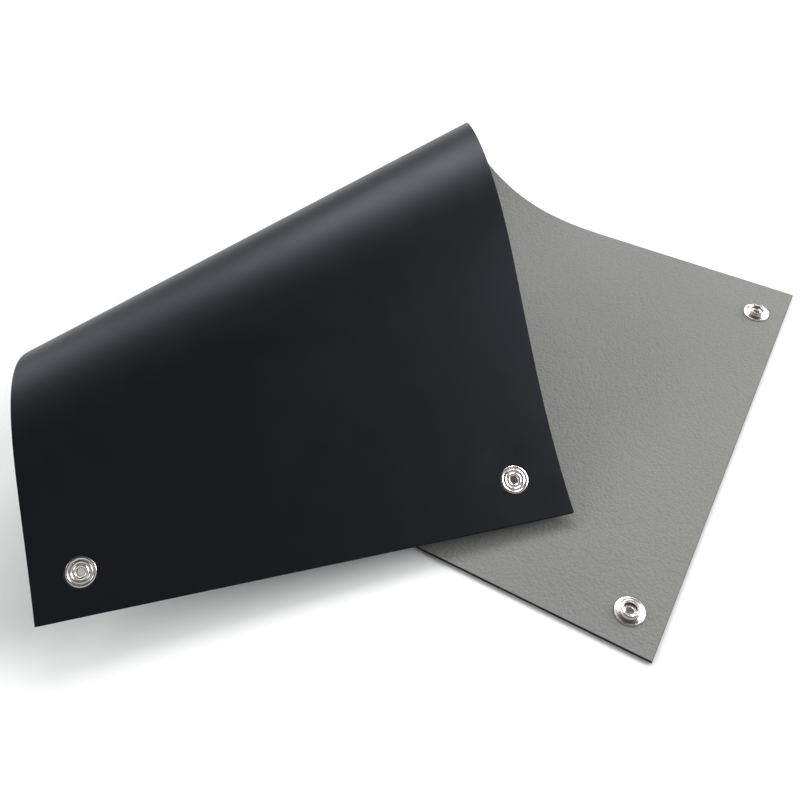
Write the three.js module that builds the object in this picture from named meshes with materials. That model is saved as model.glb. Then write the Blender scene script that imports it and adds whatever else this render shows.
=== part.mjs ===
// Anti static bench mat: a two-layer rubber sheet folded loosely over itself, with a press stud in each corner.
// Millimetres, +Z up. The flat end lies on the floor and the other end comes back over it, underside up.

import * as THREE from 'three';

// The sheet, laid flat: "along" runs from the flat end to the folded end, "across" over its width.
const sheetLength = 618;
const sheetWidth = 300;
const topLayerThickness = 0.8;
const bottomLayerThickness = 1.4;

// The bend. Each distance is measured along the sheet's middle line from its flat end.
const liftOff = 217.5;
const fullBend = 286.6;
const bendEases = 417.7;
const bendEnds = 522.7;
const bendRadius = 62.9;
const endUpturnRadius = 208;

// The sheet bends about slanted lines: their slant from square, at the lift-off and at the folded end.
const slantAtLiftOff = THREE.MathUtils.degToRad(30.3);
const slantAtEnd = THREE.MathUtils.degToRad(10.8);

// Each stud's inset from the end edge and from the side edge, as set by hand.
const studPlaces = [
  { name: 'flat_far', fromEnd: 18.2, fromSide: 28.8, foldedEnd: false, farSide: true },
  { name: 'flat_near', fromEnd: 19.5, fromSide: 20.5, foldedEnd: false, farSide: false },
  { name: 'fold_near', fromEnd: 23.1, fromSide: 26.2, foldedEnd: true, farSide: false },
  { name: 'fold_far', fromEnd: 25.5, fromSide: 28.8, foldedEnd: true, farSide: true },
];

// The press stud on the grey side.
const studFlangeRadius = 8.4;
const studFlangeEdge = 0.7;
const studFlangeRise = 1.5;
const studHeadRadius = 5.2;
const studNeckRadius = 4.7;
const studHeadHeight = 4.0;
const studRimThickness = 0.9;
const studFloorThickness = 0.9;

// The eyelet that holds it from the black side.
const eyeletFlangeRadius = 8.2;
const eyeletFlangeThickness = 0.6;
const eyeletGrooveDepth = 0.25;
const eyeletGrooveRadii = [4.3, 6.4];
const eyeletGrooveWidth = 0.7;
const eyeletBore = 3.8;
const eyeletWall = 0.35;
const eyeletMouthRadius = 2.8;
const eyeletMouthDepth = 1.2;
const eyeletFlareReach = 1.1;
const eyeletFlareThickness = 0.4;

// Clearances: metal to metal, and between the metal and the rubber that it is pressed into.
const metalClearance = 0.3;
const seatClearance = 0.1;
const pocketClearance = 0.3;
const pocketSlope = 0.3;

// Steps of the faceted surfaces.
const alongStep = 12;
const flatStep = 54;
const acrossStep = 40;
const bendSteps = 600;
const patchMargin = 3;
const studSides = 16;

const sheetThickness = bottomLayerThickness + topLayerThickness;
const eyeletTubeRadius = eyeletBore / 2 + eyeletWall;
const studHoleRadius = eyeletTubeRadius + metalClearance;
const sheetHoleRadius = eyeletMouthRadius + eyeletWall + metalClearance;
const pocketDepth = eyeletFlangeThickness + seatClearance;
const pocketRadius = eyeletFlangeRadius + pocketClearance;
const patchHalf = Math.max(pocketRadius + pocketSlope, studFlangeRadius) + patchMargin;

const greyRubber = new THREE.MeshStandardMaterial({ color: 0x8f8f8a, roughness: 0.75, metalness: 0 });
const blackRubber = new THREE.MeshStandardMaterial({ color: 0x1c1f22, roughness: 0.55, metalness: 0 });
const nickel = new THREE.MeshStandardMaterial({ color: 0xd8d4cf, roughness: 0.2, metalness: 1 });

// Value at x on the straight lines through the given [x, value] pairs.
function onLines(x, pairs) {
  if (x <= pairs[0][0]) return pairs[0][1];
  for (let i = 1; i < pairs.length; i++) {
    const [x0, y0] = pairs[i - 1];
    const [x1, y1] = pairs[i];
    if (x <= x1) return y0 + (y1 - y0) * (x - x0) / (x1 - x0);
  }
  return pairs[pairs.length - 1][1];
}

const curvatureLine = [
  [liftOff, 0],
  [fullBend, 1 / bendRadius],
  [bendEases, 1 / bendRadius],
  [bendEnds, 0],
  [sheetLength, -1 / endUpturnRadius],
];
const slantLine = [[liftOff, slantAtLiftOff], [sheetLength, slantAtEnd]];

// Frames along the middle line: the way along, the way across and the way up out of the grey side.
// A strip that bends without stretching turns by its curvature about the slanted line through each point.
function middleLine() {
  const reach = sheetWidth;
  const start = -reach;
  const step = (sheetLength + 2 * reach) / bendSteps;
  const turned = new THREE.Quaternion();
  const point = new THREE.Vector3(-start, 0, 0);
  const frames = [];
  for (let i = 0; i <= bendSteps; i++) {
    const at = start + i * step;
    const along = new THREE.Vector3(-1, 0, 0).applyQuaternion(turned);
    const across = new THREE.Vector3(0, 1, 0).applyQuaternion(turned);
    const up = new THREE.Vector3(0, 0, 1).applyQuaternion(turned);
    frames.push({ at, point: point.clone(), along, across, up });
    const middle = at + step / 2;
    const curvature = onLines(middle, curvatureLine);
    const slant = onLines(middle, slantLine);
    const axis = across.clone().addScaledVector(along, -Math.tan(slant)).multiplyScalar(curvature * step);
    const angle = axis.length();
    if (angle > 0) turned.premultiply(new THREE.Quaternion().setFromAxisAngle(axis.normalize(), angle));
    const alongNext = new THREE.Vector3(-1, 0, 0).applyQuaternion(turned);
    point.addScaledVector(alongNext.add(along).normalize(), step);
  }
  return { start, step, frames };
}

const bend = middleLine();

function frameAt(at) {
  const place = THREE.MathUtils.clamp((at - bend.start) / bend.step, 0, bendSteps - 1e-6);
  const i = Math.floor(place);
  const t = place - i;
  const a = bend.frames[i];
  const b = bend.frames[i + 1];
  const mix = (name) => a[name].clone().lerp(b[name], t);
  return { point: mix('point'), along: mix('along'), across: mix('across').normalize(), up: mix('up').normalize() };
}

// The place in space of a point of the flat sheet, raised above its underside.
function bentPlace(along, across, height) {
  const side = across - sheetWidth / 2;
  let at = along;
  for (let i = 0; i < 6; i++) at = along + side * Math.tan(onLines(at, slantLine));
  const frame = frameAt(at);
  const slope = Math.tan(onLines(at, slantLine));
  const point = frame.point.clone()
    .addScaledVector(frame.across, side)
    .addScaledVector(frame.along, -side * slope)
    .addScaledVector(frame.up, height);
  return { point, frame };
}

// Each stud's seat: the sheet is flat under its flanges, in the plane that touches the bend there.
const seats = studPlaces.map((place) => {
  const along = place.foldedEnd ? sheetLength - place.fromEnd : place.fromEnd;
  const across = place.farSide ? sheetWidth - place.fromSide : place.fromSide;
  const { point, frame } = bentPlace(along, across, 0);
  const up = frame.up;
  const alongWay = frame.along.clone().addScaledVector(up, -frame.along.dot(up)).normalize();
  const acrossWay = new THREE.Vector3().crossVectors(alongWay, up).normalize();
  return { name: place.name, along, across, point, up, alongWay, acrossWay };
});

function sheetPlace(point, height) {
  const seat = point.seat;
  if (!seat) return bentPlace(point.along, point.across, height).point;
  return seat.point.clone()
    .addScaledVector(seat.alongWay, point.along - seat.along)
    .addScaledVector(seat.acrossWay, point.across - seat.across)
    .addScaledVector(seat.up, height);
}

// Grid lines: the wanted stops, with even steps between them.
function gridLines(stops, stepAt) {
  const sorted = [...new Set(stops)].sort((a, b) => a - b);
  const lines = [sorted[0]];
  for (let i = 1; i < sorted.length; i++) {
    const span = sorted[i] - sorted[i - 1];
    const count = Math.ceil(span / stepAt((sorted[i] + sorted[i - 1]) / 2) - 1e-9);
    for (let k = 1; k <= count; k++) lines.push(sorted[i - 1] + span * k / count);
  }
  return lines;
}

// The flat sheet as a net of triangles, with a round hole in a square patch at each stud.
function flatNet() {
  const bendReach = sheetWidth / 2 * Math.tan(slantAtLiftOff);
  const bendStarts = liftOff - bendReach;
  const alongStops = [0, bendStarts, sheetLength];
  const acrossStops = [0, sheetWidth];
  for (const seat of seats) {
    alongStops.push(seat.along - patchHalf, seat.along + patchHalf);
    acrossStops.push(seat.across - patchHalf, seat.across + patchHalf);
  }
  const rows = gridLines(alongStops, (at) => (at < bendStarts ? flatStep : alongStep));
  const columns = gridLines(acrossStops, () => acrossStep);
  const points = [];
  const triangles = [];
  const seatOf = (along, across) => seats.find((seat) =>
    Math.abs(along - seat.along) < patchHalf + 1e-6 && Math.abs(across - seat.across) < patchHalf + 1e-6);
  const index = rows.map((along) => columns.map((across) => {
    points.push({ along, across, seat: seatOf(along, across), ring: 'sheet' });
    return points.length - 1;
  }));
  for (let i = 0; i + 1 < rows.length; i++) {
    for (let k = 0; k + 1 < columns.length; k++) {
      if (seatOf((rows[i] + rows[i + 1]) / 2, (columns[k] + columns[k + 1]) / 2)) continue;
      const [a, b, c, d] = [index[i][k], index[i][k + 1], index[i + 1][k + 1], index[i + 1][k]];
      triangles.push([a, b, c], [a, c, d]);
    }
  }
  for (const seat of seats) addPatch(points, triangles, seat);
  return { points, triangles };
}

// Rings of points around a stud, from its square patch down to the hole, joined in order of angle.
function addPatch(points, triangles, seat) {
  const angleOf = (i) => Math.atan2(points[i].across - seat.across, points[i].along - seat.along);
  const onEdge = (p) => Math.max(Math.abs(p.along - seat.along), Math.abs(p.across - seat.across)) > patchHalf - 1e-6;
  let outer = points.map((p, i) => i).filter((i) => points[i].seat === seat && onEdge(points[i]));
  outer.sort((a, b) => angleOf(a) - angleOf(b));
  const rings = [['pocketEdge', pocketRadius + pocketSlope], ['pocket', pocketRadius], ['hole', sheetHoleRadius]];
  for (const [ring, radius] of rings) {
    const inner = [];
    for (let i = 0; i < studSides; i++) {
      const angle = -Math.PI + (i + 0.5) / studSides * 2 * Math.PI;
      const along = seat.along + radius * Math.cos(angle);
      const across = seat.across + radius * Math.sin(angle);
      points.push({ along, across, seat, ring });
      inner.push(points.length - 1);
    }
    joinRings(triangles, outer, inner, angleOf);
    outer = inner;
  }
}

function joinRings(triangles, outer, inner, angleOf) {
  const turn = 2 * Math.PI;
  const outerAt = (i) => angleOf(outer[i % outer.length]) + turn * Math.floor(i / outer.length);
  const innerAt = (i) => angleOf(inner[i % inner.length]) + turn * Math.floor(i / inner.length);
  let o = 0;
  let n = 0;
  while (o < outer.length || n < inner.length) {
    const stepOuter = n >= inner.length || (o < outer.length && outerAt(o + 1) <= innerAt(n + 1));
    const from = outer[o % outer.length];
    const to = inner[n % inner.length];
    if (stepOuter) triangles.push([to, outer[(o + 1) % outer.length], from]);
    else triangles.push([from, to, inner[(n + 1) % inner.length]]);
    if (stepOuter) o += 1;
    else n += 1;
  }
}

// A layer of the sheet between two heights above its underside, closed by a wall along every free edge.
function layerGeometry(net, lowAt, highAt) {
  const count = net.points.length;
  const positions = [];
  for (const heightAt of [lowAt, highAt]) {
    for (const point of net.points) positions.push(...sheetPlace(point, heightAt(point)).toArray());
  }
  const index = [];
  const edges = new Map();
  for (const [a, b, c] of net.triangles) {
    index.push(c, b, a, a + count, b + count, c + count);
    for (const [p, q] of [[a, b], [b, c], [c, a]]) {
      if (!edges.delete(`${q} ${p}`)) edges.set(`${p} ${q}`, [p, q]);
    }
  }
  for (const [p, q] of edges.values()) index.push(p, q, q + count, p, q + count, p + count);
  const geometry = new THREE.BufferGeometry();
  geometry.setAttribute('position', new THREE.Float32BufferAttribute(positions, 3));
  geometry.setIndex(index);
  geometry.computeVertexNormals();
  return geometry;
}

// A turned piece with its axis along +Z, from an outline of [radius, height] points that closes on itself.
function turned(outline) {
  const points = [...outline, outline[0]].map(([radius, height]) => new THREE.Vector2(radius, height));
  return new THREE.LatheGeometry(points, studSides).rotateX(Math.PI / 2);
}

// The stud from its seat on the grey side: a domed flange, a hollow head with a rolled rim, and a floor with a hole.
function studGeometry() {
  const cupRadius = studNeckRadius - studRimThickness;
  return turned([
    [studHoleRadius, 0],
    [studFlangeRadius, 0],
    [studFlangeRadius, studFlangeEdge],
    [(studFlangeRadius + studNeckRadius) / 2, studFlangeRise],
    [studNeckRadius, studFlangeRise],
    [studNeckRadius, studHeadHeight - 2 * studRimThickness],
    [studHeadRadius, studHeadHeight - studRimThickness],
    [studHeadRadius - studRimThickness / 3, studHeadHeight],
    [cupRadius + studRimThickness / 3, studHeadHeight],
    [cupRadius, studHeadHeight - studRimThickness],
    [cupRadius, studFloorThickness],
    [studHoleRadius, studFloorThickness],
  ]);
}

// The eyelet from the sheet's underside: a grooved flange with a rounded mouth, a tube through the sheet, and the
// tube's end flared over the stud's floor.
function eyeletGeometry() {
  const bore = eyeletBore / 2;
  const flareSeat = sheetThickness + seatClearance + studFloorThickness + metalClearance;
  const flareRadius = eyeletTubeRadius + eyeletFlareReach;
  const face = [];
  for (const radius of eyeletGrooveRadii) {
    face.push([radius - eyeletGrooveWidth / 2, 0], [radius, eyeletGrooveDepth], [radius + eyeletGrooveWidth / 2, 0]);
  }
  return turned([
    [bore, eyeletMouthDepth],
    [eyeletMouthRadius, 0],
    ...face,
    [eyeletFlangeRadius - eyeletGrooveDepth, 0],
    [eyeletFlangeRadius, eyeletFlangeThickness / 2],
    [eyeletFlangeRadius, eyeletFlangeThickness],
    [eyeletMouthRadius + eyeletWall, eyeletFlangeThickness],
    [eyeletTubeRadius, eyeletMouthDepth + eyeletWall],
    [eyeletTubeRadius, flareSeat],
    [flareRadius, flareSeat],
    [flareRadius - eyeletFlareThickness / 2, flareSeat + eyeletFlareThickness],
    [bore + eyeletFlareThickness, flareSeat + eyeletFlareThickness],
    [bore, flareSeat - eyeletFlareThickness],
  ]);
}

const mat = new THREE.Group();

function addPiece(name, geometry, material) {
  const piece = new THREE.Mesh(geometry, material);
  piece.name = name;
  mat.add(piece);
  return piece;
}

const net = flatNet();
const inPocket = (point) => point.ring === 'pocket' || point.ring === 'hole';
const underside = (point) => (inPocket(point) ? pocketDepth : 0);
addPiece('bottom_layer', layerGeometry(net, underside, () => bottomLayerThickness), blackRubber);
addPiece('top_layer', layerGeometry(net, () => bottomLayerThickness, () => sheetThickness), greyRubber);

for (const seat of seats) {
  const turn = new THREE.Matrix4().makeBasis(seat.alongWay, new THREE.Vector3().crossVectors(seat.up, seat.alongWay), seat.up);
  const stud = addPiece(`stud_${seat.name}`, studGeometry(), nickel);
  const eyelet = addPiece(`eyelet_${seat.name}`, eyeletGeometry(), nickel);
  stud.quaternion.setFromRotationMatrix(turn);
  eyelet.quaternion.setFromRotationMatrix(turn);
  stud.position.copy(seat.point).addScaledVector(seat.up, sheetThickness + seatClearance);
  eyelet.position.copy(seat.point);
}

// The origin is the middle of the whole folded mat's outline, at floor level.
const outline = new THREE.Box3().setFromObject(mat, true);
mat.position.set(-(outline.min.x + outline.max.x) / 2, -(outline.min.y + outline.max.y) / 2, -outline.min.z);
mat.updateMatrixWorld(true);

export default mat;
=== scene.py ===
"""Looks of an anti static bench mat.

A two-layer rubber sheet folded over itself, with a press stud in each corner.
"""

import math

import bpy
import numpy as np
from mathutils import Matrix, Quaternion, Vector


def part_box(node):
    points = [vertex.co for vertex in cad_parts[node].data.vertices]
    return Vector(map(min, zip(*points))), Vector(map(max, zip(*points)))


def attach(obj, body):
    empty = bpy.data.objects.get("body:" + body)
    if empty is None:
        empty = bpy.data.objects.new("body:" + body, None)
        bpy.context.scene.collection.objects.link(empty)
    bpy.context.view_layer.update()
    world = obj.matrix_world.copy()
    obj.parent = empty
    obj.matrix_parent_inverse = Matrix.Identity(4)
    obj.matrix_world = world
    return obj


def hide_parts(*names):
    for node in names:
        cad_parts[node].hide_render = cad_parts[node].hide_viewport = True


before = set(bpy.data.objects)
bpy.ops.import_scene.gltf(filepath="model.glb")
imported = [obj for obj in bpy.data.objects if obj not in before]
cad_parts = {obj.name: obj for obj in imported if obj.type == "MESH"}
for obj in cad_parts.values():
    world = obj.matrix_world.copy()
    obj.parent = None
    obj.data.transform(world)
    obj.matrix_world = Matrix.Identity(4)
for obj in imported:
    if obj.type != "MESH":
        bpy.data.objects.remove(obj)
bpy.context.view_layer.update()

# Real sizes, in metres, the same as the frame's.
MM = 0.001
SHEET_LENGTH = 618 * MM
SHEET_WIDTH = 300 * MM
TOP_LAYER = 0.8 * MM
BOTTOM_LAYER = 1.4 * MM
THICKNESS = TOP_LAYER + BOTTOM_LAYER

# The bend, by distances along the sheet's middle line.
LIFT_OFF = 217.5 * MM
FULL_BEND = 286.6 * MM
BEND_EASES = 417.7 * MM
BEND_ENDS = 522.7 * MM
BEND_RADIUS = 62.9 * MM
END_UPTURN_RADIUS = 208 * MM
SLANT_AT_LIFT_OFF = math.radians(30.3)
SLANT_AT_END = math.radians(10.8)

# Each stud: its corner's name, its insets from the end edge and from the side edge, whether it is on the
# folded end, and whether it is on the far side.
STUD_PLACES = [
    ("flat_far", 18.2 * MM, 28.8 * MM, False, True),
    ("flat_near", 19.5 * MM, 20.5 * MM, False, False),
    ("fold_near", 23.1 * MM, 26.2 * MM, True, False),
    ("fold_far", 25.5 * MM, 28.8 * MM, True, True),
]

# The stud's flange, and the hole and the pocket in the sheet that the eyelet sits in.
FLANGE_RADIUS = 8.4 * MM
HOLE_RADIUS = 3.45 * MM
POCKET_RADIUS = 8.45 * MM
POCKET_DEPTH = 0.68 * MM
POCKET_LIP = 0.25 * MM
POCKET_SLACK = 0.01 * MM

# The rubber is pressed down a little under each stud, and the stud sinks into it.
DISH_DEPTH = 0.06 * MM
DISH_REACH = 1.6 * MM
STUD_SUNK = 0.03 * MM

# Fine steps of the sheet's mesh and the rounding of its cut edges.
ALONG_STEP = 3.0 * MM
ACROSS_STEP = 4.0 * MM
CUT_ROUNDING = 0.22 * MM
BOND_ROUNDING = 0.05 * MM
TOP_ROUNDING = 0.15 * MM
PATCH_HALF = 12.5 * MM
SEAT_FLAT = 10.0 * MM
SEAT_BLEND = 26.0 * MM
RING_SIDES = 64
FAR_AWAY = 1.0

# Radii of the rings of points round each hole, from the square patch inwards.
SEAT_RINGS = [
    11.4 * MM,
    10.4 * MM,
    9.7 * MM,
    9.2 * MM,
    8.85 * MM,
    POCKET_RADIUS + POCKET_LIP,
    POCKET_RADIUS + 0.4 * POCKET_LIP,
    POCKET_RADIUS,
    6.0 * MM,
    HOLE_RADIUS,
]

# Tones of the two rubbers, each from its darker to its lighter cloudings.
GREY_LOW = (0.205, 0.205, 0.194)
GREY_HIGH = (0.222, 0.222, 0.210)
BLACK_LOW = (0.0030, 0.0040, 0.0044)
BLACK_HIGH = (0.0040, 0.0050, 0.0055)
# The grey layer's cut edge is given a charcoal tone far darker than the grey rubber: painted shade on the
# edge.
GREY_CUT_SHADE = (0.034, 0.034, 0.034)
BLACK_CUT = (0.003, 0.003, 0.0035)
BLACK_SHEEN = (0.80, 0.83, 1.0, 1)
METAL_LOW = (0.80, 0.76, 0.72)
METAL_HIGH = (0.90, 0.87, 0.84)
FLOOR_WHITE = (0.93, 0.93, 0.93, 1)

# The grey side's grain: scales are in cells per metre.
PEBBLE_SCALE = 640
PEBBLE_HEIGHT = 0.27 * MM
WARP_SCALE = 320
WARP_REACH = 1.6 * MM
# The creases between the pebbles are darkened by this factor: painted shade.
CREASE_SHADE_TONE = (0.93, 0.93, 0.93)

# The studio's light by the height that it comes from: bright walls, and a dark ceiling.
STUDIO_BY_HEIGHT = [
    (0.0, (0.50, 0.51, 0.52)),
    (0.45, (0.40, 0.41, 0.42)),
    (0.75, (0.09, 0.092, 0.095)),
    (1.0, (0.03, 0.031, 0.032)),
]

# Each soft light: name, place, the point that it faces, width, height and power in watts.
SOFT_BOXES = [
    ("left_box", (-1.7, -0.3, 1.1), (0, 0, 0), 2.2, 1.1, 22),
    ("right_box", (1.3, 1.1, 1.0), (0.1, 0, 0), 1.8, 1.2, 46),
    ("back_box", (-0.9, 1.5, 1.8), (0, 0, 0), 1.8, 1.1, 38),
]

# The floor's half width, and how far it lies under the mat so that the two don't touch.
FLOOR_REACH = 6.0
FLOOR_GAP = 0.0002

# The camera, fitted to the mat's outline in the photo: place in metres and its three directions.
CAMERA_PLACE = Vector((0.19295, -0.30201, 0.47195))
CAMERA_FORWARD = Vector((-0.377311, 0.582239, -0.720163))
CAMERA_RIGHT = Vector((0.864308, 0.500661, -0.048056))
IMAGE_SIZE = 800
FOCAL_PIXELS = 910.9
CENTRE_OFFSET = (-11.7, -89.0)


def smooth_step(value):
    """0 below 0, 1 above 1, and a smooth rise between."""
    t = np.clip(value, 0.0, 1.0)
    return t * t * (3 - 2 * t)


class Bend:
    """The sheet bent without stretching about slanted straight lines."""

    STEPS = 1600
    SLANT_ROUNDS = 8

    def __init__(self):
        reach = SHEET_WIDTH
        self.at = np.linspace(-reach, SHEET_LENGTH + reach, self.STEPS + 1)
        step = self.at[1] - self.at[0]
        curve_at = [LIFT_OFF, FULL_BEND, BEND_EASES, BEND_ENDS, SHEET_LENGTH]
        curve = [0, 1 / BEND_RADIUS, 1 / BEND_RADIUS, 0, -1 / END_UPTURN_RADIUS]
        middle = (self.at[:-1] + self.at[1:]) / 2
        curvature = np.interp(middle, curve_at, curve)
        slope = np.tan(self.slant(middle))
        turn = Quaternion()
        point = Vector((reach, 0, 0))
        self.points, self.along, self.across, self.up = [], [], [], []
        for i in range(self.STEPS + 1):
            along = turn @ Vector((-1, 0, 0))
            across = turn @ Vector((0, 1, 0))
            self.points.append(point.copy())
            self.along.append(along)
            self.across.append(across)
            self.up.append(turn @ Vector((0, 0, 1)))
            if i == self.STEPS:
                break
            axis = (across - along * slope[i]) * (curvature[i] * step)
            if axis.length > 0:
                turn = Quaternion(axis.normalized(), axis.length) @ turn
            point = point + (along + turn @ Vector((-1, 0, 0))).normalized() * step
        for name in ("points", "along", "across", "up"):
            setattr(self, name, np.array([list(v) for v in getattr(self, name)]))

    @staticmethod
    def slant(at):
        return np.interp(at, [LIFT_OFF, SHEET_LENGTH], [SLANT_AT_LIFT_OFF, SLANT_AT_END])

    def _mix(self, rows, at):
        return np.stack([np.interp(at, self.at, rows[:, k]) for k in range(3)], axis=-1)

    def frame(self, along, across):
        """Place, way along, way across and way up at points of the flat sheet, at its underside."""
        side = across - SHEET_WIDTH / 2
        at = along
        for _ in range(self.SLANT_ROUNDS):
            at = along + side * np.tan(self.slant(at))
        slope = np.tan(self.slant(at))
        way_along = self._mix(self.along, at)
        way_across = self._mix(self.across, at)
        up = self._mix(self.up, at)
        up /= np.linalg.norm(up, axis=-1, keepdims=True)
        point = self._mix(self.points, at)
        point = point + side[..., None] * (way_across - way_along * slope[..., None])
        return point, way_along, way_across, up


BEND = Bend()


class Seat:
    """A stud's place: the sheet is flat under its flanges."""

    def __init__(self, name, from_end, from_side, folded_end, far_side):
        self.name = name
        self.along = SHEET_LENGTH - from_end if folded_end else from_end
        self.across = SHEET_WIDTH - from_side if far_side else from_side
        point, way, _, up = BEND.frame(np.array([self.along]), np.array([self.across]))
        self.point = point[0]
        self.up = up[0]
        way = way[0] - self.up * way[0].dot(self.up)
        self.way_along = way / np.linalg.norm(way)
        self.way_across = np.cross(self.way_along, self.up)


SEATS = [Seat(*place) for place in STUD_PLACES]


def sheet_places(along, across, height):
    """Places in space of points of the flat sheet, raised above its underside."""
    point, _, _, up = BEND.frame(along, across)
    for seat in SEATS:
        away = np.hypot(along - seat.along, across - seat.across)
        weight = 1 - smooth_step((away - SEAT_FLAT) / (SEAT_BLEND - SEAT_FLAT))
        flat = (seat.point
                + (along - seat.along)[:, None] * seat.way_along
                + (across - seat.across)[:, None] * seat.way_across)
        point = point + weight[:, None] * (flat - point)
        up = up + weight[:, None] * (seat.up - up)
    up = up / np.linalg.norm(up, axis=-1, keepdims=True)
    return point + height[:, None] * up


def frame_shift():
    """The move from the bend's origin to the frame's: an eyelet gives the place, the sheet the height."""
    sheet_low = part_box("bottom_layer")[0]
    low, high = (np.array(corner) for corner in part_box("eyelet_flat_far"))
    middle = (low + high) / 2
    seat = SEATS[0]
    return np.array([middle[0] - seat.point[0], middle[1] - seat.point[1], sheet_low[2]])


SHIFT = frame_shift()


def grid_lines(stops, step):
    """The wanted stops, with even steps between them."""
    stops = sorted(set(round(s, 7) for s in stops))
    lines = [stops[0]]
    for low, high in zip(stops, stops[1:]):
        count = max(1, math.ceil((high - low) / step - 1e-6))
        lines += [low + (high - low) * k / count for k in range(1, count + 1)]
    return lines


class Net:
    """The flat sheet as a net of faces, with rings of points round a hole at each stud."""

    def __init__(self):
        edge = CUT_ROUNDING
        along_stops = [edge, SHEET_LENGTH - edge]
        across_stops = [edge, SHEET_WIDTH - edge]
        for seat in SEATS:
            along_stops += [seat.along - PATCH_HALF, seat.along + PATCH_HALF]
            across_stops += [seat.across - PATCH_HALF, seat.across + PATCH_HALF]
        rows = grid_lines(along_stops, ALONG_STEP)
        columns = grid_lines(across_stops, ACROSS_STEP)
        self.points = []
        self.faces = []
        self.seat_radius = {}
        index = [[self.add(a, c) for c in columns] for a in rows]
        for i in range(len(rows) - 1):
            for k in range(len(columns) - 1):
                middle = ((rows[i] + rows[i + 1]) / 2, (columns[k] + columns[k + 1]) / 2)
                if self.seat_at(*middle) is None:
                    self.faces.append((index[i][k + 1], index[i][k], index[i + 1][k], index[i + 1][k + 1]))
        for seat in SEATS:
            self.patch(seat)
        used = sorted({i for face in self.faces for i in face})
        new = {old: k for k, old in enumerate(used)}
        self.points = [self.points[i] for i in used]
        self.seat_radius = {new[i]: r for i, r in self.seat_radius.items() if i in new}
        self.faces = [tuple(new[i] for i in face) for face in self.faces]
        self.loops = self.find_loops()

    def add(self, along, across):
        self.points.append((along, across))
        return len(self.points) - 1

    @staticmethod
    def seat_at(along, across):
        for seat in SEATS:
            if max(abs(along - seat.along), abs(across - seat.across)) < PATCH_HALF:
                return seat
        return None

    def patch(self, seat):
        slack = 1e-7
        outer = []
        for i, (along, across) in enumerate(self.points):
            far = max(abs(along - seat.along), abs(across - seat.across))
            if abs(far - PATCH_HALF) < slack:
                outer.append(i)
        angle_of = lambda i: math.atan2(self.points[i][1] - seat.across, self.points[i][0] - seat.along)
        outer.sort(key=angle_of)
        for radius in SEAT_RINGS:
            inner = []
            for k in range(RING_SIDES):
                angle = -math.pi + (k + 0.5) / RING_SIDES * 2 * math.pi
                i = self.add(seat.along + radius * math.cos(angle), seat.across + radius * math.sin(angle))
                self.seat_radius[i] = radius
                inner.append(i)
            self.join(outer, inner, angle_of)
            outer = inner

    def join(self, outer, inner, angle_of):
        if len(outer) == len(inner):
            count = len(outer)
            for k in range(count):
                after = (k + 1) % count
                self.faces.append((outer[k], inner[k], inner[after], outer[after])[::-1])
            return
        turn = 2 * math.pi
        at = lambda ring, k: angle_of(ring[k % len(ring)]) + turn * (k // len(ring))
        o = n = 0
        while o < len(outer) or n < len(inner):
            from_outer = outer[o % len(outer)]
            from_inner = inner[n % len(inner)]
            if n >= len(inner) or (o < len(outer) and at(outer, o + 1) <= at(inner, n + 1)):
                self.faces.append((from_inner, from_outer, outer[(o + 1) % len(outer)]))
                o += 1
            else:
                self.faces.append((from_outer, inner[(n + 1) % len(inner)], from_inner))
                n += 1

    def find_loops(self):
        """The free edges, as loops of points in order."""
        ways = {}
        for face in self.faces:
            for a, b in zip(face, face[1:] + face[:1]):
                if (b, a) in ways:
                    del ways[(b, a)]
                else:
                    ways[(a, b)] = True
        after = {a: b for a, b in ways}
        loops = []
        while after:
            start = min(after)
            loop = [start]
            here = after.pop(start)
            while here != start:
                loop.append(here)
                here = after.pop(here)
            loops.append(loop)
        return loops


def outward(points, loop):
    """The way out of the sheet at each point of a free edge, in the flat sheet."""
    p = np.array([points[i] for i in loop])
    ahead = np.roll(p, -1, axis=0) - p
    ahead /= np.linalg.norm(ahead, axis=1, keepdims=True)
    behind = np.roll(ahead, 1, axis=0)
    normal = np.stack([ahead[:, 1] + behind[:, 1], -(ahead[:, 0] + behind[:, 0])], axis=1)
    return normal / np.linalg.norm(normal, axis=1, keepdims=True)


def wall_profile(low, high, low_rounding, high_rounding):
    """Heights and ways out of the rows of a cut edge's wall, from the top down."""
    rows = []
    for k in (1, 2, 3):
        angle = k / 3 * math.pi / 2
        rows.append((CUT_ROUNDING - high_rounding * (1 - math.sin(angle)),
                     high - high_rounding * (1 - math.cos(angle))))
    for k in (2, 1, 0):
        angle = k / 3 * math.pi / 2
        out = CUT_ROUNDING - low_rounding * (1 - math.sin(angle))
        rows.append((out, low + low_rounding * (1 - math.cos(angle))))
    # A rounding as deep as the edge ends on the rim of the face itself, which is there already.
    return [row for row in rows if row[0] > 1e-9]


def new_object(name, vertices, faces):
    mesh = bpy.data.meshes.new(name)
    mesh.from_pydata([tuple(v) for v in vertices], [], [tuple(int(i) for i in f) for f in faces])
    mesh.polygons.foreach_set("use_smooth", [True] * len(mesh.polygons))
    obj = bpy.data.objects.new(name, mesh)
    bpy.context.scene.collection.objects.link(obj)
    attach(obj, "root")
    return obj


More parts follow.
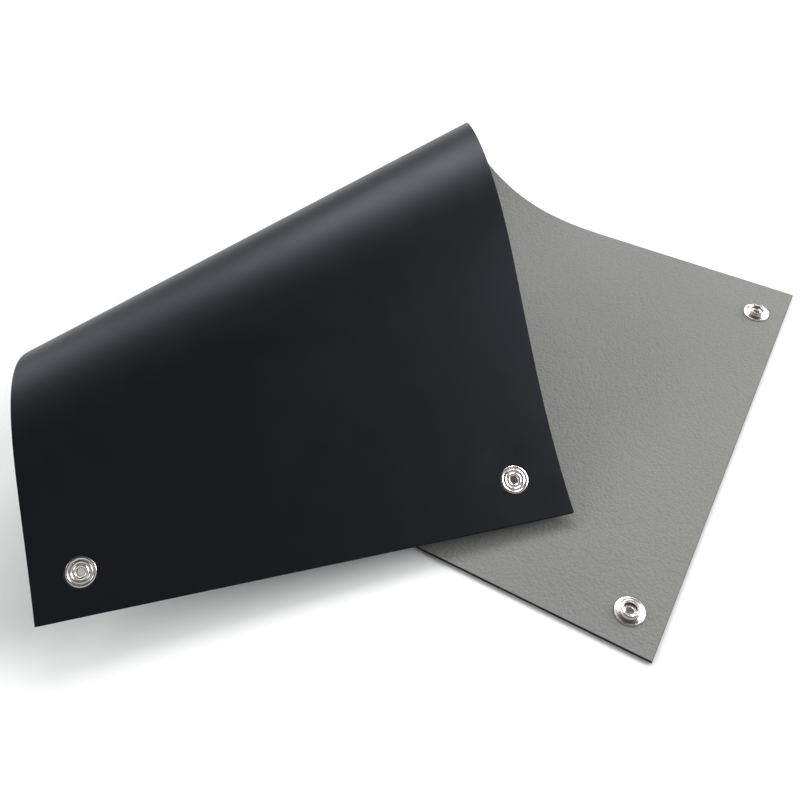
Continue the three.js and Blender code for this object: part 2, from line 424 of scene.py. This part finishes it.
def layer(name, net, low_of, high_of, low, high, roundings):
    """One layer of the sheet, with rounded cut edges and its place in the flat sheet kept as an attribute."""
    flat = np.array(net.points)
    count = len(flat)
    along = [flat[:, 0], flat[:, 0]]
    across = [flat[:, 1], flat[:, 1]]
    heights = [low_of, high_of]
    faces = [tuple(face) for face in net.faces] + [tuple(i + count for i in face[::-1]) for face in net.faces]
    total = 2 * count
    for loop in net.loops:
        is_hole = loop[0] in net.seat_radius
        way = outward(net.points, loop)
        profile = [] if is_hole else wall_profile(low, high, *roundings)
        rows = [[i + count for i in loop]]
        for out, height in profile:
            along.append(flat[loop, 0] + way[:, 0] * out)
            across.append(flat[loop, 1] + way[:, 1] * out)
            heights.append(np.full(len(loop), height))
            rows.append(list(range(total, total + len(loop))))
            total += len(loop)
        rows.append(list(loop))
        for above, below in zip(rows, rows[1:]):
            for k in range(len(loop)):
                after = (k + 1) % len(loop)
                faces.append((above[k], above[after], below[after], below[k]))
    along = np.concatenate(along)
    across = np.concatenate(across)
    heights = np.concatenate(heights)
    places = sheet_places(along, across, heights) + SHIFT
    obj = new_object(name, places, faces)
    cut_faces = len(faces) - 2 * len(net.faces)
    obj.data.polygons.foreach_set("material_index", [0] * (2 * len(net.faces)) + [1] * cut_faces)
    keep = obj.data.attributes.new("flat_place", "FLOAT_VECTOR", "POINT")
    keep.data.foreach_set("vector", np.stack([along, across, heights], axis=1).astype(np.float32).ravel())
    weighted = obj.modifiers.new("even_shading", "WEIGHTED_NORMAL")
    weighted.weight = 80
    return obj


def rounded_outline(corners, steps=5):
    """A closed [radius, height] outline with each corner rounded: corners are (radius, height, rounding)."""
    result = []
    count = len(corners)
    for k, (x, z, rounding) in enumerate(corners):
        here = Vector((x, z))
        before = Vector(corners[k - 1][:2]) - here
        after = Vector(corners[(k + 1) % count][:2]) - here
        if rounding <= 0:
            result.append(here)
            continue
        half = before.angle(after) / 2
        cut = min(rounding / math.tan(half), before.length * 0.49, after.length * 0.49)
        start = here + before.normalized() * cut
        end = here + after.normalized() * cut
        for i in range(steps + 1):
            t = i / steps
            result.append(start * (1 - t) ** 2 + here * 2 * t * (1 - t) + end * t ** 2)
    return result


def turned(name, outline, seat, height, sides=96):
    """A piece turned about a seat's axis."""
    ring = len(outline)
    vertices = []
    cross = np.cross(seat.up, seat.way_along)
    base = seat.point + seat.up * height + SHIFT
    for k in range(sides):
        angle = 2 * math.pi * k / sides
        way = seat.way_along * math.cos(angle) + cross * math.sin(angle)
        for point in outline:
            vertices.append(base + way * point.x + seat.up * point.y)
    faces = []
    for k in range(sides):
        here, after = k * ring, (k + 1) % sides * ring
        for i in range(ring):
            j = (i + 1) % ring
            faces.append((here + i, after + i, after + j, here + j))
    return new_object(name, vertices, faces)


STUD_OUTLINE = [(r * MM, z * MM, c * MM) for r, z, c in [
    (2.55, 0.0, 0.0),
    (8.1, 0.0, 0.0),
    (8.4, 0.25, 0.2),
    (8.2, 0.78, 0.3),
    (7.75, 0.86, 0.2),
    (7.4, 0.66, 0.15),
    (6.9, 0.86, 0.3),
    (5.5, 1.52, 0.6),
    (4.75, 1.62, 0.3),
    (4.65, 2.5, 0.4),
    (5.25, 3.05, 0.4),
    (5.2, 3.98, 0.5),
    (4.2, 4.02, 0.5),
    (3.85, 3.1, 0.4),
    (3.8, 0.9, 0.45),
    (2.55, 0.9, 0.15),
]]

EYELET_OUTLINE = [(r * MM, z * MM, c * MM) for r, z, c in [
    (1.9, 1.5, 0.9),
    (2.75, 0.3, 0.5),
    (3.45, -0.09, 0.9),
    (4.25, 0.42, 0.12),
    (4.6, 0.42, 0.12),
    (5.4, -0.09, 0.9),
    (6.3, 0.36, 0.12),
    (6.55, 0.36, 0.12),
    (7.3, -0.09, 0.9),
    (8.2, 0.3, 0.2),
    (8.2, 0.6, 0.1),
    (3.15, 0.6, 0.0),
    (2.25, 1.55, 0.3),
    (2.25, 3.3, 0.1),
    (3.25, 3.2, 0.3),
    (3.45, 3.6, 0.3),
    (3.05, 3.92, 0.35),
    (2.35, 3.92, 0.35),
    (1.9, 3.3, 0.3),
]]


def material(name):
    """A new material with its shader and output."""
    made = bpy.data.materials.new(name)
    made.use_nodes = True
    return made, made.node_tree.nodes, made.node_tree.links, made.node_tree.nodes["Principled BSDF"]


def noise(nodes, links, place, scale, detail=3.0, roughness=0.5):
    node = nodes.new("ShaderNodeTexNoise")
    node.inputs["Scale"].default_value = scale
    node.inputs["Detail"].default_value = detail
    node.inputs["Roughness"].default_value = roughness
    links.new(place, node.inputs["Vector"])
    return node.outputs["Fac"]


def ramp(nodes, links, source, stops):
    node = nodes.new("ShaderNodeValToRGB")
    elements = node.color_ramp.elements
    while len(elements) < len(stops):
        elements.new(0.5)
    for element, (place, colour) in zip(elements, stops):
        element.position = place
        element.color = (*colour, 1)
    links.new(source, node.inputs["Fac"])
    return node.outputs["Color"]


def bump(nodes, links, source, distance, strength, before=None):
    node = nodes.new("ShaderNodeBump")
    node.inputs["Distance"].default_value = distance
    node.inputs["Strength"].default_value = strength
    links.new(source, node.inputs["Height"])
    if before is not None:
        links.new(before, node.inputs["Normal"])
    return node.outputs["Normal"]


def flat_place(nodes):
    node = nodes.new("ShaderNodeAttribute")
    node.attribute_name = "flat_place"
    return node.outputs["Vector"]


def grey_rubber():
    """Matt grey rubber with an embossed grain of worm-like pebbles, 1 to 2 mm a pebble, and painted shade in
    the creases between them.
    """
    made, nodes, links, shader = material("grey_rubber")
    place = flat_place(nodes)
    warp = nodes.new("ShaderNodeTexNoise")
    warp.inputs["Scale"].default_value = WARP_SCALE
    warp.inputs["Detail"].default_value = 2
    links.new(place, warp.inputs["Vector"])
    mix = nodes.new("ShaderNodeVectorMath")
    mix.operation = "MULTIPLY_ADD"
    mix.inputs[1].default_value = (WARP_REACH, WARP_REACH, WARP_REACH)
    links.new(warp.outputs["Color"], mix.inputs[0])
    links.new(place, mix.inputs[2])
    cells = nodes.new("ShaderNodeTexVoronoi")
    cells.feature = "SMOOTH_F1"
    cells.inputs["Scale"].default_value = PEBBLE_SCALE
    cells.inputs["Smoothness"].default_value = 0.5
    links.new(mix.outputs["Vector"], cells.inputs["Vector"])
    mottle = ramp(nodes, links, noise(nodes, links, place, scale=9.0), [(0.3, GREY_LOW), (0.7, GREY_HIGH)])
    # The colour is darkened where the bump sinks between the pebbles: painted shade in the creases.
    crease_shade_stops = [(0.25, (1, 1, 1)), (0.75, CREASE_SHADE_TONE)]
    crease_shade = ramp(nodes, links, cells.outputs["Distance"], crease_shade_stops)
    tone = nodes.new("ShaderNodeMix")
    tone.data_type = "RGBA"
    tone.blend_type = "MULTIPLY"
    tone.inputs["Factor"].default_value = 1.0
    links.new(mottle, tone.inputs["A"])
    links.new(crease_shade, tone.inputs["B"])
    links.new(tone.outputs["Result"], shader.inputs["Base Color"])
    pebbles = bump(nodes, links, cells.outputs["Distance"], -PEBBLE_HEIGHT, 1.0)
    fine = bump(nodes, links, noise(nodes, links, place, scale=2200, detail=2.0), 0.04 * MM, 0.5, pebbles)
    links.new(fine, shader.inputs["Normal"])
    shader.inputs["Roughness"].default_value = 0.6
    shader.inputs["Specular IOR Level"].default_value = 0.3
    return made


def black_rubber():
    """Smooth satin black rubber, faintly blue, with very fine mottling."""
    made, nodes, links, shader = material("black_rubber")
    place = flat_place(nodes)
    clouds = noise(nodes, links, place, scale=14.0, detail=5.0)
    tone = ramp(nodes, links, clouds, [(0.3, BLACK_LOW), (0.7, BLACK_HIGH)])
    links.new(tone, shader.inputs["Base Color"])
    rough = nodes.new("ShaderNodeMapRange")
    rough.inputs["To Min"].default_value = 0.38
    rough.inputs["To Max"].default_value = 0.46
    links.new(noise(nodes, links, place, scale=60.0, detail=4.0), rough.inputs["Value"])
    links.new(rough.outputs["Result"], shader.inputs["Roughness"])
    fine = bump(nodes, links, noise(nodes, links, place, scale=1500, detail=3.0), 0.03 * MM, 0.35)
    links.new(fine, shader.inputs["Normal"])
    shader.inputs["Specular IOR Level"].default_value = 0.38
    shader.inputs["Specular Tint"].default_value = BLACK_SHEEN
    return made


def cut_rubber(name, colour):
    """The dull cut edge of a layer, with fine marks left by the blade."""
    made, nodes, links, shader = material(name)
    place = flat_place(nodes)
    darker = tuple(0.7 * channel for channel in colour)
    clouds = noise(nodes, links, place, scale=500.0, detail=3.0)
    tone = ramp(nodes, links, clouds, [(0.3, darker), (0.7, colour)])
    links.new(tone, shader.inputs["Base Color"])
    marks = bump(nodes, links, noise(nodes, links, place, scale=1800, detail=2.0), 0.05 * MM, 0.5)
    links.new(marks, shader.inputs["Normal"])
    shader.inputs["Roughness"].default_value = 0.8
    shader.inputs["Specular IOR Level"].default_value = 0.15
    return made


def plated_metal():
    """Bright nickel plate on pressed metal, slightly warm, with faint dulling."""
    made, nodes, links, shader = material("plated_metal")
    coordinates = nodes.new("ShaderNodeTexCoord")
    place = coordinates.outputs["Object"]
    dulling = noise(nodes, links, place, scale=300.0, detail=4.0)
    tone = ramp(nodes, links, dulling, [(0.3, METAL_LOW), (0.7, METAL_HIGH)])
    links.new(tone, shader.inputs["Base Color"])
    rough = nodes.new("ShaderNodeMapRange")
    rough.inputs["To Min"].default_value = 0.2
    rough.inputs["To Max"].default_value = 0.28
    links.new(noise(nodes, links, place, scale=900.0, detail=3.0), rough.inputs["Value"])
    links.new(rough.outputs["Result"], shader.inputs["Roughness"])
    marks = bump(nodes, links, noise(nodes, links, place, scale=2500, detail=2.0), 0.003 * MM, 0.3)
    links.new(marks, shader.inputs["Normal"])
    shader.inputs["Metallic"].default_value = 1.0
    return made


def build_mat():
    net = Net()
    count = len(net.points)
    radius = np.full(count, FAR_AWAY)
    for i, r in net.seat_radius.items():
        radius[i] = r
    flat = np.array(net.points)
    near = np.full(count, FAR_AWAY)
    for seat in SEATS:
        near = np.minimum(near, np.hypot(flat[:, 0] - seat.along, flat[:, 1] - seat.across))
    # The eyelet's flange sits in a pocket in the underside, and the stud presses the top down a little.
    pocket = 1 - smooth_step((radius - POCKET_RADIUS + POCKET_SLACK) / POCKET_LIP)
    low_of = POCKET_DEPTH * pocket
    dished = 1 - smooth_step((near - FLANGE_RADIUS) / DISH_REACH)
    high_of = np.full(count, THICKNESS) - DISH_DEPTH * dished
    bond = np.full(count, BOTTOM_LAYER)
    black_roundings = (CUT_ROUNDING, BOND_ROUNDING)
    grey_roundings = (BOND_ROUNDING, TOP_ROUNDING)
    black = layer("black_layer", net, low_of, bond, 0.0, BOTTOM_LAYER, black_roundings)
    grey = layer("grey_layer", net, bond, high_of, BOTTOM_LAYER, THICKNESS, grey_roundings)
    black.data.materials.append(black_rubber())
    black.data.materials.append(cut_rubber("black_cut", BLACK_CUT))
    grey.data.materials.append(grey_rubber())
    # The grey layer's cut edge takes the charcoal tone, which is painted shade.
    grey.data.materials.append(cut_rubber("grey_cut_painted_shade", GREY_CUT_SHADE))
    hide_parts("bottom_layer")
    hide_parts("top_layer")


def build_metal():
    metal = plated_metal()
    stud_outline = rounded_outline(STUD_OUTLINE)
    eyelet_outline = rounded_outline(EYELET_OUTLINE)
    for seat in SEATS:
        stud = turned("press_stud_" + seat.name, stud_outline, seat, THICKNESS - STUD_SUNK)
        eyelet = turned("back_eyelet_" + seat.name, eyelet_outline, seat, 0.0)
        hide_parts("stud_" + seat.name)
        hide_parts("eyelet_" + seat.name)
        for piece in (stud, eyelet):
            piece.data.materials.append(metal)


def build_stage():
    """A plain white floor."""
    reach = FLOOR_REACH
    corners = [(-reach, -reach, 0), (reach, -reach, 0), (reach, reach, 0), (-reach, reach, 0)]
    mesh = bpy.data.meshes.new("floor")
    mesh.from_pydata(corners, [], [(0, 1, 2, 3)])
    floor = bpy.data.objects.new("floor", mesh)
    floor.location.z = -FLOOR_GAP
    bpy.context.scene.collection.objects.link(floor)
    made, nodes, links, shader = material("floor_white")
    shader.inputs["Base Color"].default_value = FLOOR_WHITE
    shader.inputs["Roughness"].default_value = 0.9
    shader.inputs["Specular IOR Level"].default_value = 0.1
    floor.data.materials.append(made)


def soft_box(name, place, target, width, height, power):
    light = bpy.data.lights.new(name, "AREA")
    light.shape = "RECTANGLE"
    light.size = width
    light.size_y = height
    light.energy = power
    obj = bpy.data.objects.new(name, light)
    obj.location = place
    obj.rotation_euler = (Vector(target) - Vector(place)).to_track_quat("-Z", "Y").to_euler()
    bpy.context.scene.collection.objects.link(obj)


def build_light():
    world = bpy.data.worlds.new("studio")
    world.use_nodes = True
    nodes, links = world.node_tree.nodes, world.node_tree.links
    background = nodes["Background"]
    coordinates = nodes.new("ShaderNodeTexCoord")
    parts = nodes.new("ShaderNodeSeparateXYZ")
    links.new(coordinates.outputs["Generated"], parts.inputs["Vector"])
    links.new(ramp(nodes, links, parts.outputs["Z"], STUDIO_BY_HEIGHT), background.inputs["Color"])
    bpy.context.scene.world = world
    for soft_light in SOFT_BOXES:
        soft_box(*soft_light)


def build_camera():
    data = bpy.data.cameras.new("camera")
    camera = bpy.data.objects.new("camera", data)
    bpy.context.scene.collection.objects.link(camera)
    back = -CAMERA_FORWARD.normalized()
    right = CAMERA_RIGHT.normalized()
    up = back.cross(right)
    camera.matrix_world = Matrix((
        (right.x, up.x, back.x, CAMERA_PLACE.x),
        (right.y, up.y, back.y, CAMERA_PLACE.y),
        (right.z, up.z, back.z, CAMERA_PLACE.z),
        (0, 0, 0, 1),
    ))
    data.sensor_width = 36
    data.sensor_fit = "HORIZONTAL"
    data.lens = FOCAL_PIXELS / IMAGE_SIZE * data.sensor_width
    data.shift_x = -CENTRE_OFFSET[0] / IMAGE_SIZE
    data.shift_y = CENTRE_OFFSET[1] / IMAGE_SIZE
    data.clip_start = 0.01
    bpy.context.scene.camera = camera


build_mat()
build_metal()
build_stage()
build_light()
build_camera()
bpy.context.scene.view_settings.view_transform = "Standard"
